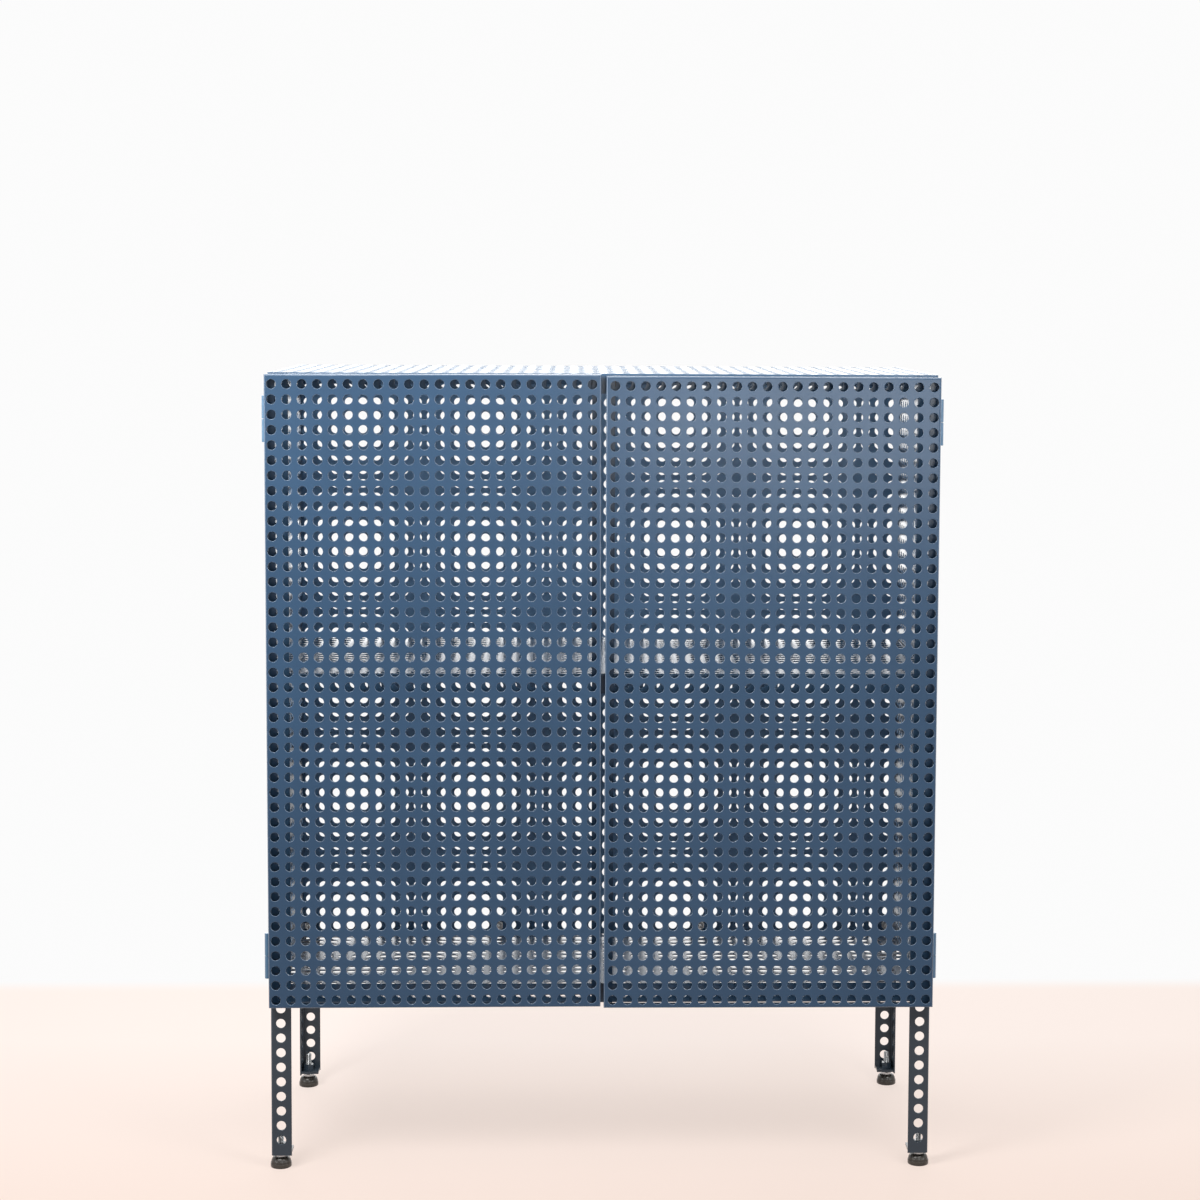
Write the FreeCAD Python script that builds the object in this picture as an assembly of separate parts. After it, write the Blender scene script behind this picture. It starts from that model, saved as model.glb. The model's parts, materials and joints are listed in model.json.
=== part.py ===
"""Two-door cupboard of folded, perforated sheet steel, standing on four punched angle legs.

Millimetres, +Z up, the doors face -Y, and the origin is the middle of the footprint on the floor.
Every hole lies on one square grid that hangs from the top of the body, so that legs, panels and
trays share their rows and can be bolted through them.

The perforation of the doors, panels and trays, some 7000 holes, is past the model's limit on
facets. A plain grid of larger openings stands for it in the doors, the top, the back and the
sides, with the same share of open area. The holes that are cut at their real size are the ones
in the bare lengths of the legs and the ones that bolts and catches pass through. They, the
bolts, the hinge pins and the feet are many-sided for the same reason.
"""
import FreeCAD, Part
import math
import os

# Hole grid
PITCH = 15.0
HOLE_DIAMETER = 9.5
TOP_ROW_INSET = 10.0
MIDDLE_BOLT_COLUMNS = 7.5
CATCH_COLUMNS = 0.5
HOLE_SIDES = 6

# Larger openings that stand for the perforation of a sheet; a field lies between two trays
DOOR_OPENING_COLUMNS = 5
DOOR_OPENING_ROWS = 9
BODY_OPENING_COLUMNS = 8
SIDE_OPENING_COLUMNS = 3
FIELD_OPENING_ROWS = 4

# Body
BODY_WIDTH = 665.0
BODY_DEPTH = 275.0
BODY_HEIGHT = 805.0
UNDER_HEIGHT = 170.0
SHEET = 1.2
BEND_RADIUS = 2.0
SEAM_GAP = 0.4
TRAY_FLANGE = 20.0

# Angle legs
LEG_WIDTH = 20.5
LEG_SHEET = 1.5
LEG_BEND_RADIUS = 2.5
LEG_HOLE_INSET = 10.0
LEG_FOOT_MARGIN = 15.0
LEG_BOTTOM = 14.0

# Doors
DOOR_OVERHANG = 0.55
DOOR_GAP = 4.1
DOOR_DEPTH = 15.5
DOOR_LIP = 9.0
DOOR_TOP_DROP = 1.0
DOOR_BOTTOM_RISE = 1.0
RIGHT_DOOR_DROP = 1.0

# Lift-off hinges
HINGE_LENGTH = 46.0
HINGE_TOP_INSET = 22.0
HINGE_BOTTOM_INSET = 26.0
HINGE_LEAF = 1.0
HINGE_LEAF_GAP = 0.5
HINGE_AXIS_OFFSET = 2.25
KNUCKLE_RADIUS = 2.6
KNUCKLE_END_GAP = 0.3
KNUCKLE_SIDE_GAP = 0.4
DOOR_LEAF_WIDTH = 7.5
FRAME_LEAF_WIDTH = 11.0
PIN_RADIUS = 1.5
PIN_RUNNING_CLEARANCE = 0.05
PIN_SEAT_CLEARANCE = 0.02
KNUCKLE_SIDES = 16
KNUCKLE_CAP = 2.0
PIN_END_GAP = 0.5

# Levelling feet
FOOT_SIDE_INSET = 8.5
FOOT_FACE_INSET = 10.0
FOOT_PLATE = 2.5
FOOT_PLATE_LIFT = 1.5
FOOT_PLATE_CLEARANCE = 0.3
BUSH_FLATS = 10.0
BUSH_HEIGHT = 6.0
STUD_RADIUS = 3.0
STUD_SIDES = 16
STUD_RUNNING_CLEARANCE = 0.05
STUD_HEIGHT = 36.0
COLLAR_FLATS = 10.0
COLLAR_HEIGHT = 3.0
PAD_RADIUS = 10.6
PAD_HEIGHT = 10.5
PAD_RIM_HEIGHT = 4.0
PAD_CROWN_RADIUS = 6.0
PAD_SIDES = 20
PAD_STEPS = 2

# Bolts and nuts
BOLT_RADIUS = 3.0
BOLT_HEAD_RADIUS = 7.0
BOLT_HEAD_HEIGHT = 2.0
BOLT_END = 2.0
BOLT_SIDES = 12
SHANK_SIDES = 6
NUT_FLATS = 10.0
NUT_HEIGHT = 5.0
NUT_BORE_CLEARANCE = 0.05

# Magnetic catches
CATCH_HOLE_CLEARANCE = 0.1
CATCH_DOOR_GAP = 0.4
CATCH_COLLAR_RADIUS = 6.5
CATCH_COLLAR_HEIGHT = 1.5
CATCH_TAIL = 6.0
MAGNET_RADIUS = 3.0
MAGNET_RECESS = 0.3

# One overrun serves every cut
OVERRUN = 1.0

# Side of an opening as a share of its cell of the sheet: as open as the real perforation
OPENING_SHARE = math.sqrt(math.pi) / 2 * HOLE_DIAMETER / PITCH

# Places worked out from the sizes above
DOOR_STANDOFF = 2 * HINGE_LEAF + HINGE_LEAF_GAP
TOTAL_DEPTH = DOOR_DEPTH + DOOR_STANDOFF + BODY_DEPTH + BOLT_HEAD_HEIGHT
DOOR_FRONT = -TOTAL_DEPTH / 2
DOOR_BACK = DOOR_FRONT + DOOR_DEPTH
BODY_FRONT = DOOR_BACK + DOOR_STANDOFF
BODY_BACK = BODY_FRONT + BODY_DEPTH
HALF_WIDTH = BODY_WIDTH / 2
SIDE_PANEL_OUT = HALF_WIDTH - LEG_SHEET
SIDE_PANEL_IN = SIDE_PANEL_OUT - SHEET
BACK_PANEL_OUT = BODY_BACK - LEG_SHEET
BACK_PANEL_IN = BACK_PANEL_OUT - SHEET
TRAY_FRONT = BODY_FRONT + LEG_SHEET
LEG_COLUMN = HALF_WIDTH - LEG_HOLE_INSET
LEG_INNER_RADIUS = LEG_BEND_RADIUS - LEG_SHEET
HINGE_AXIS_X = HALF_WIDTH + DOOR_OVERHANG + HINGE_AXIS_OFFSET
HINGE_AXIS_Y = DOOR_BACK + DOOR_STANDOFF / 2
DOOR_WIDTH = HALF_WIDTH + DOOR_OVERHANG - DOOR_GAP / 2
BOTTOM_ROW = round((BODY_HEIGHT - TOP_ROW_INSET - UNDER_HEIGHT - TRAY_FLANGE / 2) / PITCH)
SHELF_ROW = BOTTOM_ROW // 2


def row_height(row):
    """Height of a row of the hole grid, counted down from the top of the body."""
    return BODY_HEIGHT - TOP_ROW_INSET - row * PITCH


BODY_BOTTOM = row_height(BOTTOM_ROW) - TRAY_FLANGE / 2
DOOR_TOP = BODY_HEIGHT - DOOR_TOP_DROP
DOOR_BOTTOM = BODY_BOTTOM + DOOR_BOTTOM_RISE
DOOR_HEIGHT = DOOR_TOP - DOOR_BOTTOM


def box(x0, x1, y0, y1, z0, z1):
    """Box between three pairs of limits."""
    return Part.makeBox(x1 - x0, y1 - y0, z1 - z0, FreeCAD.Vector(x0, y0, z0))


def corners(corner_radius, sides, height):
    """Corners of a regular outline, the first one repeated at the end."""
    turns = [(k + 1 / 2) * 2 * math.pi / sides for k in range(sides + 1)]
    return [FreeCAD.Vector(corner_radius * math.cos(turn), corner_radius * math.sin(turn), height)
            for turn in turns]


def rounded(radius, sides):
    """Corner radius of a regular outline with as much area as a circle of the radius."""
    step = 2 * math.pi / sides
    return radius * math.sqrt(step / math.sin(step))


def bar(radius, sides, start, end):
    """Many-sided bar along +Z."""
    base = Part.makePolygon(corners(rounded(radius, sides), sides, start))
    return Part.Face(base).extrude(FreeCAD.Vector(0, 0, end - start))


def stepped_bar(sides, sections):
    """Many-sided bar along +Z through (radius, height) sections, with a flat face between each two."""
    rings = [corners(rounded(radius, sides), sides, height) for radius, height in sections]
    faces = [Part.Face(Part.makePolygon(rings[0])), Part.Face(Part.makePolygon(rings[-1]))]
    for low, high in zip(rings, rings[1:]):
        for k in range(sides):
            faces.append(Part.Face(Part.makePolygon([low[k], low[k + 1], high[k + 1], high[k], low[k]])))
    return Part.Solid(Part.Shell(faces))


def hexagon(flats, start, end):
    """Hexagonal bar along +Z, measured across its flats."""
    base = Part.makePolygon(corners(flats / 2 / math.cos(math.pi / 6), 6, start))
    return Part.Face(base).extrude(FreeCAD.Vector(0, 0, end - start))


def upright_at(shape, x, y):
    """A bar made along +Z, moved to its place."""
    return shape.translated(FreeCAD.Vector(x, y, 0))


def facing_back(shape, x, z):
    """A bar made along +Z, turned to run along +Y and moved to its place."""
    turned = shape.copy()
    turned.rotate(FreeCAD.Vector(0, 0, 0), FreeCAD.Vector(1, 0, 0), -90)
    return turned.translated(FreeCAD.Vector(x, 0, z))


def facing_right(shape, y, z):
    """A bar made along +Z, turned to run along +X and moved to its place."""
    turned = shape.copy()
    turned.rotate(FreeCAD.Vector(0, 0, 0), FreeCAD.Vector(0, 1, 0), 90)
    return turned.translated(FreeCAD.Vector(0, y, z))


def mirrored(shape):
    """The same piece on the other side of the cupboard."""
    return shape.mirror(FreeCAD.Vector(0, 0, 0), FreeCAD.Vector(1, 0, 0))


def front_to_back(shape):
    """The same piece at the back of the body, turned about the body's middle plane."""
    middle = (BODY_FRONT + BODY_BACK) / 2
    return shape.mirror(FreeCAD.Vector(0, middle, 0), FreeCAD.Vector(0, 1, 0))


def round_edges(solid, radius, chosen):
    """Fillet the edges for which chosen(edge) is true."""
    return solid.makeFillet(radius, [edge for edge in solid.Edges if chosen(edge)])


def lies_at(edge, axis, value):
    """True if both ends of an edge have the same coordinate."""
    return all(abs(getattr(vertex, axis) - value) < OVERRUN / 1000 for vertex in edge.Vertexes)


def folded_pan(length, width, depth, lip):
    """Sheet folded into a pan: its face at Z 0, its flanges rising along +Z.

    With a lip, the two flanges at the ends of X turn inwards again at their edge. The flanges
    along X are cut short and butt against the others with a narrow seam.
    """
    inner_radius = BEND_RADIUS - SHEET
    floor_of_lip = depth - SHEET
    outer = box(0, length, 0, width, 0, depth)
    outer = round_edges(outer, BEND_RADIUS, lambda edge: lies_at(edge, "Z", 0))
    top = floor_of_lip if lip else depth + OVERRUN
    hollow = box(SHEET, length - SHEET, SHEET, width - SHEET, SHEET, top)
    hollow = round_edges(hollow, inner_radius, lambda edge: lies_at(edge, "Z", SHEET))
    if lip:
        outer = round_edges(outer, BEND_RADIUS, lambda edge: lies_at(edge, "Z", depth)
                            and (lies_at(edge, "X", 0) or lies_at(edge, "X", length)))
        hollow = round_edges(hollow, inner_radius, lambda edge: lies_at(edge, "Z", floor_of_lip)
                             and (lies_at(edge, "X", SHEET) or lies_at(edge, "X", length - SHEET)))
    pan = outer.cut(hollow)
    cuts = []
    if lip:
        cuts.append(box(lip, length - lip, SHEET, width - SHEET, floor_of_lip - OVERRUN, depth + OVERRUN))
        for y in (SHEET, width - SHEET - SEAM_GAP):
            cuts.append(box(SHEET, lip + OVERRUN, y, y + SEAM_GAP, floor_of_lip, depth + OVERRUN))
            cuts.append(box(length - lip - OVERRUN, length - SHEET, y, y + SEAM_GAP,
                            floor_of_lip, depth + OVERRUN))
    for x in (SHEET, length - SHEET - SEAM_GAP):
        for y in (-OVERRUN, width - SHEET - SEAM_GAP):
            cuts.append(box(x, x + SEAM_GAP, y, y + SHEET + SEAM_GAP + OVERRUN,
                            BEND_RADIUS, depth + OVERRUN))
    return pan.cut(cuts)


def hole_y(x, row, y_from, y_to):
    """Cutter of one grid hole through a sheet that faces front or back."""
    cutter = bar(HOLE_DIAMETER / 2, HOLE_SIDES, y_from - OVERRUN, y_to + OVERRUN)
    return facing_back(cutter, x, row_height(row))


def hole_x(y, row, x_from, x_to):
    """Cutter of one grid hole through a sheet that faces sideways."""
    cutter = bar(HOLE_DIAMETER / 2, HOLE_SIDES, x_from - OVERRUN, x_to + OVERRUN)
    return facing_right(cutter, y, row_height(row))


def open_spans(low, high, count):
    """Limits of a row of openings, each one in the middle of its cell of the length."""
    cell = (high - low) / count
    side = cell * OPENING_SHARE
    middles = [low + (k + 1 / 2) * cell for k in range(count)]
    return [(middle - side / 2, middle + side / 2) for middle in middles]


def tray_rows():
    """Grid rows that run through the flanges of the three trays."""
    return (0, SHELF_ROW, BOTTOM_ROW)


def field_spans():
    """Height limits of the openings in the sheets of the body, in the two fields between its trays."""
    spans = []
    for upper, lower in zip(tray_rows(), tray_rows()[1:]):
        low = row_height(lower) + TRAY_FLANGE / 2
        high = row_height(upper) - TRAY_FLANGE / 2
        spans += open_spans(low, high, FIELD_OPENING_ROWS)
    return spans


def bare_leg_rows():
    """Grid rows of the legs below the body, down to the margin at their lower end."""
    lowest = LEG_BOTTOM + LEG_FOOT_MARGIN
    return [row for row in range(2 * BOTTOM_ROW) if lowest <= row_height(row) < BODY_BOTTOM]


def bolt_places():
    """X of each bolt along the back of a tray: one in each leg and two through the back panel."""
    middle = MIDDLE_BOLT_COLUMNS * PITCH
    return (-LEG_COLUMN, -middle, middle, LEG_COLUMN)


def left_leg(bolt_rows):
    """Punched angle with its corner outwards, in the front left place.

    Its lower length, below the body, has the whole hole grid in both flanges. Above that it
    has the holes that its bolts pass through.
    """
    corner_x = -HALF_WIDTH
    outer = box(corner_x, corner_x + LEG_WIDTH, BODY_FRONT, BODY_FRONT + LEG_WIDTH, LEG_BOTTOM, BODY_HEIGHT)
    outer = round_edges(outer, LEG_BEND_RADIUS, lambda edge: lies_at(edge, "X", corner_x)
                        and lies_at(edge, "Y", BODY_FRONT))
    inner_x = corner_x + LEG_SHEET
    inner_y = BODY_FRONT + LEG_SHEET
    inner = box(inner_x, inner_x + LEG_WIDTH, inner_y, inner_y + LEG_WIDTH,
                LEG_BOTTOM - OVERRUN, BODY_HEIGHT + OVERRUN)
    inner = round_edges(inner, LEG_INNER_RADIUS, lambda edge: lies_at(edge, "X", inner_x)
                        and lies_at(edge, "Y", inner_y))
    cutters = [hole_y(-LEG_COLUMN, row, BODY_FRONT, inner_y) for row in bolt_rows]
    for row in bare_leg_rows():
        cutters.append(hole_y(-LEG_COLUMN, row, BODY_FRONT, inner_y))
        cutters.append(hole_x(BODY_FRONT + LEG_HOLE_INSET, row, corner_x, inner_x))
    return outer.cut(inner).cut(cutters)


def tray(row, faces_up):
    """Shelf, top or bottom of the body: a pan with the grid row through its flanges.

    The top and the shelf have their face on top. The bottom lies the other way, with its
    flanges standing up round what is put on it. The top's face has a grid of openings.
    """
    length = 2 * SIDE_PANEL_IN
    width = BACK_PANEL_IN - TRAY_FRONT
    pan = folded_pan(length, width, TRAY_FLANGE, 0)
    if row == 0:
        pan = pan.cut([box(x0, x1, y0, y1, -OVERRUN, SHEET + OVERRUN)
                       for x0, x1 in open_spans(0, length, BODY_OPENING_COLUMNS)
                       for y0, y1 in open_spans(0, width, SIDE_OPENING_COLUMNS)])
    middle = row_height(row)
    if faces_up:
        pan.rotate(FreeCAD.Vector(0, width / 2, 0), FreeCAD.Vector(1, 0, 0), 180)
        pan.translate(FreeCAD.Vector(-length / 2, TRAY_FRONT, middle + TRAY_FLANGE / 2))
    else:
        pan.translate(FreeCAD.Vector(-length / 2, TRAY_FRONT, middle - TRAY_FLANGE / 2))
    cutters = [hole_y(x, row, BACK_PANEL_IN - SHEET, BACK_PANEL_IN) for x in bolt_places()]
    if row == 0:
        for x in catch_places():
            cutters.append(hole_y(x, row, TRAY_FRONT, TRAY_FRONT + SHEET))
    return pan.cut(cutters)


def back_panel():
    """Flat sheet between the rear legs' flanges and the trays, clear of the legs' inner bends.

    Its openings lie between the legs and between the trays, so that the bolts have whole sheet.
    """
    edge_x = SIDE_PANEL_OUT - LEG_INNER_RADIUS
    field_x = HALF_WIDTH - LEG_WIDTH
    sheet = box(-edge_x, edge_x, BACK_PANEL_IN, BACK_PANEL_OUT, BODY_BOTTOM, BODY_HEIGHT)
    cutters = [hole_y(x, row, BACK_PANEL_IN, BACK_PANEL_OUT)
               for row in tray_rows() for x in bolt_places()]
    cutters += [box(x0, x1, BACK_PANEL_IN - OVERRUN, BACK_PANEL_OUT + OVERRUN, z0, z1)
                for x0, x1 in open_spans(-field_x, field_x, BODY_OPENING_COLUMNS)
                for z0, z1 in field_spans()]
    return sheet.cut(cutters)


def left_side_panel():
    """Flat sheet welded inside the side flanges of two legs, clear of the front leg's inner bend.

    Its openings lie between the legs and between the trays.
    """
    front = TRAY_FRONT + LEG_INNER_RADIUS
    sheet = box(-SIDE_PANEL_OUT, -SIDE_PANEL_IN, front, BACK_PANEL_IN, BODY_BOTTOM, BODY_HEIGHT)
    return sheet.cut([box(-SIDE_PANEL_OUT - OVERRUN, -SIDE_PANEL_IN + OVERRUN, y0, y1, z0, z1)
                      for y0, y1 in open_spans(BODY_FRONT + LEG_WIDTH, BODY_BACK - LEG_WIDTH,
                                               SIDE_OPENING_COLUMNS)
                      for z0, z1 in field_spans()])


def left_door():
    """Folded door with a lip along each upright edge, hung at the outer edge of the body.

    Its whole face has a grid of openings.
    """
    pan = folded_pan(DOOR_WIDTH, DOOR_HEIGHT, DOOR_DEPTH, DOOR_LIP)
    pan = pan.cut([box(x0, x1, y0, y1, -OVERRUN, SHEET + OVERRUN)
                   for x0, x1 in open_spans(0, DOOR_WIDTH, DOOR_OPENING_COLUMNS)
                   for y0, y1 in open_spans(0, DOOR_HEIGHT, DOOR_OPENING_ROWS)])
    pan.rotate(FreeCAD.Vector(0, 0, 0), FreeCAD.Vector(1, 0, 0), 90)
    pan = pan.mirror(FreeCAD.Vector(0, 0, 0), FreeCAD.Vector(0, 1, 0))
    pan.translate(FreeCAD.Vector(-HALF_WIDTH - DOOR_OVERHANG, DOOR_FRONT, DOOR_BOTTOM))
    return pan


def hinge(low):
    """Left lift-off hinge from its lower end up: frame leaf, door leaf and pin.

    Both leaves lie flat against their sheet. The frame leaf carries the lower knuckle with the
    pin in it, and the door leaf's knuckle drops over the pin. Both knuckles are closed at
    their outer end.
    """
    middle = low + HINGE_LENGTH / 2
    high = low + HINGE_LENGTH
    axis_x = -HINGE_AXIS_X
    plate_edge = axis_x + KNUCKLE_RADIUS + KNUCKLE_SIDE_GAP
    bore = PIN_RADIUS + PIN_SEAT_CLEARANCE
    running_bore = PIN_RADIUS + PIN_RUNNING_CLEARANCE
    frame_top = middle - KNUCKLE_END_GAP / 2
    door_bottom = middle + KNUCKLE_END_GAP / 2
    frame_front = BODY_FRONT - HINGE_LEAF
    door_back = DOOR_BACK + HINGE_LEAF

    frame = box(plate_edge, plate_edge + FRAME_LEAF_WIDTH, frame_front, BODY_FRONT, low, high)
    frame = frame.fuse(box(axis_x, plate_edge, frame_front, BODY_FRONT, low, frame_top))
    knuckle = bar(KNUCKLE_RADIUS, KNUCKLE_SIDES, low, frame_top)
    frame = frame.fuse(upright_at(knuckle, axis_x, HINGE_AXIS_Y)).removeSplitter()
    hollow = bar(bore, KNUCKLE_SIDES, low + KNUCKLE_CAP, high)
    frame = frame.cut(upright_at(hollow, axis_x, HINGE_AXIS_Y))

    door = box(plate_edge, plate_edge + DOOR_LEAF_WIDTH, DOOR_BACK, door_back, low, high)
    door = door.fuse(box(axis_x, plate_edge, DOOR_BACK, door_back, door_bottom, high))
    knuckle = bar(KNUCKLE_RADIUS, KNUCKLE_SIDES, door_bottom, high)
    door = door.fuse(upright_at(knuckle, axis_x, HINGE_AXIS_Y)).removeSplitter()
    hollow = bar(running_bore, KNUCKLE_SIDES, low, high - KNUCKLE_CAP)
    door = door.cut(upright_at(hollow, axis_x, HINGE_AXIS_Y))

    pin = bar(PIN_RADIUS, KNUCKLE_SIDES, low + KNUCKLE_CAP, high - KNUCKLE_CAP - PIN_END_GAP)
    return frame, door, upright_at(pin, axis_x, HINGE_AXIS_Y)


def hinge_lows():
    """Lower end of the upper and the lower hinge of a door."""
    return {"upper": DOOR_TOP - HINGE_TOP_INSET - HINGE_LENGTH,
            "lower": DOOR_BOTTOM + HINGE_BOTTOM_INSET}


def foot_plate(x, y):
    """Plate welded across the lower end of a front left leg, with its threaded bush."""
    start_x = -HALF_WIDTH + LEG_SHEET
    start_y = BODY_FRONT + LEG_SHEET
    side = LEG_WIDTH - LEG_SHEET - FOOT_PLATE_CLEARANCE
    low = LEG_BOTTOM + FOOT_PLATE_LIFT
    high = low + FOOT_PLATE
    plate = box(start_x, start_x + side, start_y, start_y + side, low, high)
    plate = plate.makeChamfer(LEG_BEND_RADIUS, [edge for edge in plate.Edges if lies_at(edge, "X", start_x)
                                                and lies_at(edge, "Y", start_y)])
    plate = plate.fuse(upright_at(hexagon(BUSH_FLATS, high, high + BUSH_HEIGHT), x, y))
    bore = bar(STUD_RADIUS + STUD_RUNNING_CLEARANCE, STUD_SIDES, low - OVERRUN, high + BUSH_HEIGHT + OVERRUN)
    return plate.cut(upright_at(bore, x, y))


def foot_stud(x, y):
    """Threaded stud with the hexagonal collar that stands on the pad."""
    collar = hexagon(COLLAR_FLATS, PAD_HEIGHT, PAD_HEIGHT + COLLAR_HEIGHT)
    thread = bar(STUD_RADIUS, STUD_SIDES, PAD_HEIGHT + COLLAR_HEIGHT, STUD_HEIGHT)
    return upright_at(collar.fuse(thread), x, y)


def foot_pad(x, y):
    """Round pad with an upright rim and a shoulder that curves in to its crown."""
    sections = [(PAD_RADIUS, 0)]
    for step in range(PAD_STEPS + 1):
        turn = step / PAD_STEPS * math.pi / 2
        sections.append((PAD_CROWN_RADIUS + (PAD_RADIUS - PAD_CROWN_RADIUS) * math.cos(turn),
                         PAD_RIM_HEIGHT + (PAD_HEIGHT - PAD_RIM_HEIGHT) * math.sin(turn)))
    pad = stepped_bar(PAD_SIDES, sections)
    return upright_at(pad, x, y)


def bolt(head_face):
    """Flat-headed bolt that enters from behind and ends past its nut."""
    head = bar(BOLT_HEAD_RADIUS, BOLT_SIDES, head_face, head_face + BOLT_HEAD_HEIGHT)
    shank_end = BACK_PANEL_IN - SHEET - NUT_HEIGHT - BOLT_END
    return head.fuse(bar(BOLT_RADIUS, SHANK_SIDES, shank_end, head_face))


def nut():
    """Hexagonal nut against the tray's rear flange."""
    seat = BACK_PANEL_IN - SHEET
    shape = hexagon(NUT_FLATS, seat - NUT_HEIGHT, seat)
    return shape.cut(bar(BOLT_RADIUS + NUT_BORE_CLEARANCE, SHANK_SIDES,
                         seat - NUT_HEIGHT - OVERRUN, seat + OVERRUN))


def bolts_and_nuts():
    """Every bolt and nut of the three trays, as two groups of separate solids."""
    bolts = []
    nuts = []
    for row in tray_rows():
        for x in bolt_places():
            head_face = BODY_BACK if abs(x) == LEG_COLUMN else BACK_PANEL_OUT
            bolts.append(facing_back(bolt(head_face), x, row_height(row)))
            nuts.append(facing_back(nut(), x, row_height(row)))
    return Part.makeCompound(bolts), Part.makeCompound(nuts)


def catch_places():
    """X of the two magnetic catches, in the grid holes behind the doors' inner lips."""
    return (-CATCH_COLUMNS * PITCH, CATCH_COLUMNS * PITCH)


def catch(x):
    """Magnetic catch pushed through a hole of the top's front flange: its case and its magnet."""
    z = row_height(0)
    face = DOOR_BACK + CATCH_DOOR_GAP
    seat = TRAY_FRONT + SHEET
    end = seat + CATCH_COLLAR_HEIGHT + CATCH_TAIL
    case = bar(HOLE_DIAMETER / 2 - CATCH_HOLE_CLEARANCE, HOLE_SIDES, face, end)
    case = case.fuse(bar(CATCH_COLLAR_RADIUS, BOLT_SIDES, seat, seat + CATCH_COLLAR_HEIGHT))
    case = case.cut(bar(MAGNET_RADIUS, HOLE_SIDES, face - OVERRUN, seat + CATCH_TAIL))
    magnet = bar(MAGNET_RADIUS, HOLE_SIDES, face + MAGNET_RECESS, seat + CATCH_TAIL)
    return facing_back(case, x, z), facing_back(magnet, x, z)


def both_sides(nodes, name, shape):
    """Add a left piece and its mirror image on the right."""
    nodes[name + "_left"] = shape
    nodes[name + "_right"] = mirrored(shape)


def four_corners(nodes, name, shape, rear_shape=None):
    """Add a front left piece to all four corners, with another shape at the rear if it differs."""
    both_sides(nodes, name + "_front", shape)
    both_sides(nodes, name + "_rear", front_to_back(rear_shape or shape))


def add_door_side(nodes):
    """The two doors with their hinges; the right door hangs a little lower."""
    drop = FreeCAD.Vector(0, 0, -RIGHT_DOOR_DROP)
    pieces = {"door": left_door()}
    for level, low in hinge_lows().items():
        frame, door, pin = hinge(low)
        pieces["hinge_frame_leaf_" + level] = frame
        pieces["hinge_door_leaf_" + level] = door
        pieces["hinge_pin_" + level] = pin
    for name, shape in pieces.items():
        nodes[name + "_left"] = shape
        nodes[name + "_right"] = mirrored(shape).translated(drop)


def build():
    """Every node of the cupboard by name."""
    nodes = {}
    four_corners(nodes, "leg", left_leg(()), left_leg(tray_rows()))
    nodes["top_tray"] = tray(0, True)
    nodes["shelf_tray"] = tray(SHELF_ROW, True)
    nodes["bottom_tray"] = tray(BOTTOM_ROW, False)
    nodes["back_panel"] = back_panel()
    both_sides(nodes, "side_panel", left_side_panel())
    add_door_side(nodes)
    foot_x = -HALF_WIDTH + FOOT_SIDE_INSET
    foot_y = BODY_FRONT + FOOT_FACE_INSET
    four_corners(nodes, "foot_plate", foot_plate(foot_x, foot_y))
    four_corners(nodes, "foot_stud", foot_stud(foot_x, foot_y))
    four_corners(nodes, "foot_pad", foot_pad(foot_x, foot_y))
    nodes["tray_bolts"], nodes["tray_nuts"] = bolts_and_nuts()
    for side, x in zip(("left", "right"), catch_places()):
        nodes["catch_case_" + side], nodes["catch_magnet_" + side] = catch(x)
    return nodes


os.makedirs("parts", exist_ok=True)
for node, solid in build().items():
    solid.exportStep(os.path.join("parts", node + ".step"))
    print(node, len(solid.Solids), solid.isValid(), round(solid.Volume, 1))
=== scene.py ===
"""Looks of the perforated cabinet: punched sheets, materials, light and camera around the CAD frame."""

import json
import math

import bpy
import numpy as np
from mathutils import Matrix, Vector


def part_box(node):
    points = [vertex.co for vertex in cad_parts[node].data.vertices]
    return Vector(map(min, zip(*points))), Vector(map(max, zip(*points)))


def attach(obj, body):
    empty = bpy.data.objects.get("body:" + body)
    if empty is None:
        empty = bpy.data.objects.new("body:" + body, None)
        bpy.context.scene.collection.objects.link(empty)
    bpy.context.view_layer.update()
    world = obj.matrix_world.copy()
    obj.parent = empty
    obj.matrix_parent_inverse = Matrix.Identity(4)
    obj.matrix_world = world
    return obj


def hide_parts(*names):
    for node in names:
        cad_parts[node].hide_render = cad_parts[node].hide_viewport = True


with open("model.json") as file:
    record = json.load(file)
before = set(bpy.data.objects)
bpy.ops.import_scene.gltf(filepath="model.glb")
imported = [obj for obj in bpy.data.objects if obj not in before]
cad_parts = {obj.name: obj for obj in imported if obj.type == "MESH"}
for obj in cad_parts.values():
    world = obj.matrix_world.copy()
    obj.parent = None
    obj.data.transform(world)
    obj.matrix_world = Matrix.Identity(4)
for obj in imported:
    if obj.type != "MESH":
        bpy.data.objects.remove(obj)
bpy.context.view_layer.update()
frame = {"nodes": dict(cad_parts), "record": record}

# Sizes of the CAD model that aren't in its boxes, in metres
PITCH = 0.015
HOLE_RADIUS = 0.00475
SHEET = 0.0012
BEND = 0.002
LEG_SHEET = 0.0015
LEG_BEND = 0.0025
LEG_HOLE_INSET = 0.010
TOP_ROW_INSET = 0.010
SEAM_EDGE = 0.0016
FOOT_MARGIN = 0.015

# Doors: inset of the first hole column from the hinge side and of the first row from the top
DOOR_COLUMNS = 22
DOOR_ROWS = 42
DOOR_COLUMN_INSET = 0.00718
DOOR_ROW_INSET = 0.00967

# Lean of each door in its own plane, in radians, as it hangs in the photograph
DOOR_LEAN = {"left": 0.00259, "right": -0.0004}

# Hole counts of the body, and how far the back panel's grid sits off the others
BODY_COLUMNS = 44
SIDE_COLUMNS = 18
BACK_PANEL_SHIFT = 0.0003
BACK_PANEL_DROP = 0.00033

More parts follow.
